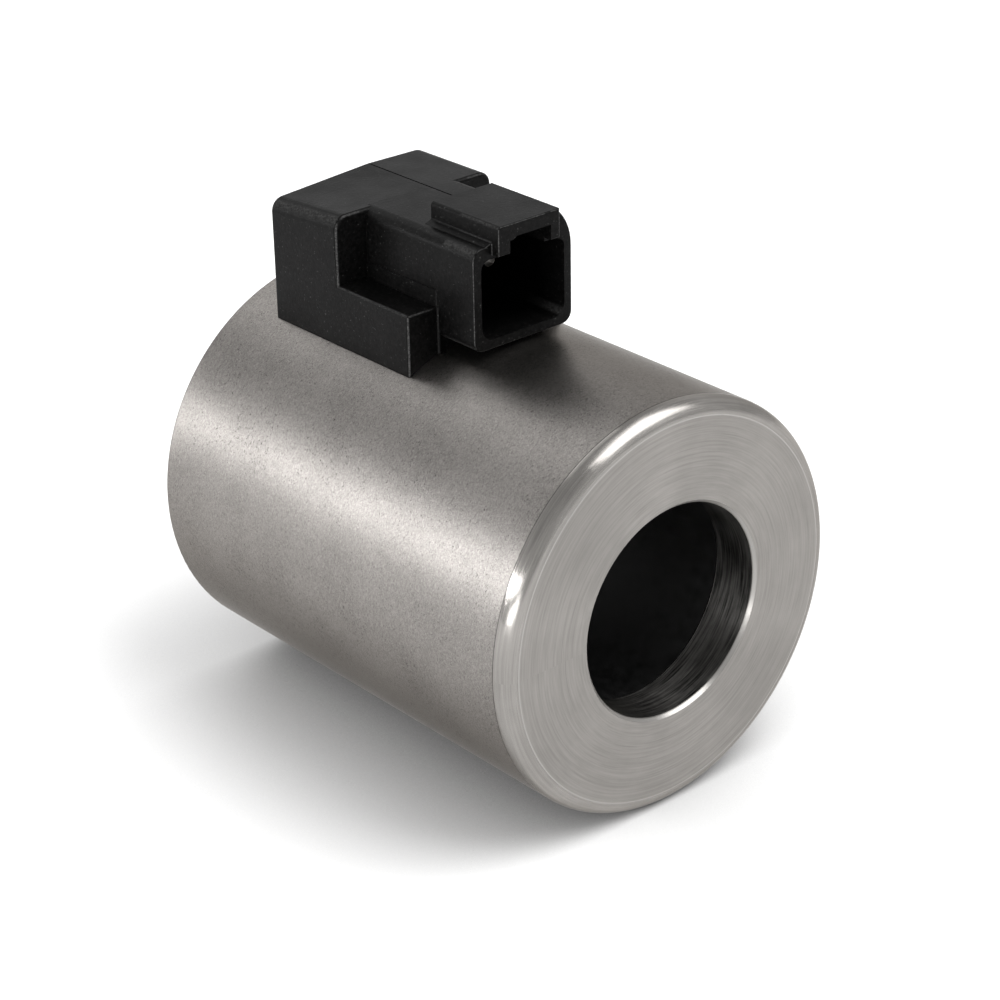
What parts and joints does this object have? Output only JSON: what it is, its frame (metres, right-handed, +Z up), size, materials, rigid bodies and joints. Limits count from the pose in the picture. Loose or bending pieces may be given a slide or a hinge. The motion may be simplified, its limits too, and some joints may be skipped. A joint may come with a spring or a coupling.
{
  "type": "solenoid valve coil",
  "caption": "Cylindrical steel-cased solenoid coil with a through bore for a core tube and a sealed plug socket on top.",
  "frame": {"origin": "on the bore axis, halfway along the case", "axes": "+Y along the bore, away from the front face towards the seating face; +Z up to the plug socket; +X to the right seen from the front face"},
  "size_m": [0.045, 0.0564, 0.0589],
  "materials": {
    "case_steel": "matte, finely blasted",
    "turned_steel": "satin, turned",
    "seal_rubber": "matte",
    "bobbin_plastic": "satin",
    "copper_wire": "enamelled",
    "amber_tape": "satin film",
    "potting_resin": "matte",
    "lead_sleeve": "matte",
    "solder": "satin",
    "contact_metal": "tinned",
    "black_nylon": "fine grained, glass filled"
  },
  "bodies": {
    "root": {"outer_shell": "case_steel", "front_end_plate": "turned_steel", "rear_end_plate": "turned_steel", "rear_seal_ring": "seal_rubber", "bobbin": "bobbin_plastic", "winding": "copper_wire", "winding_tape": "amber_tape", "encapsulation": "potting_resin", "finish_lead": "copper_wire", "start_lead": "copper_wire", "finish_lead_sleeve": "lead_sleeve", "start_lead_sleeve": "lead_sleeve", "finish_solder_joint": "solder", "start_solder_joint": "solder", "left_contact_strip": "contact_metal", "right_contact_strip": "contact_metal", "left_pin": "contact_metal", "right_pin": "contact_metal", "connector_housing": "black_nylon"}
  },
  "joints": []
}
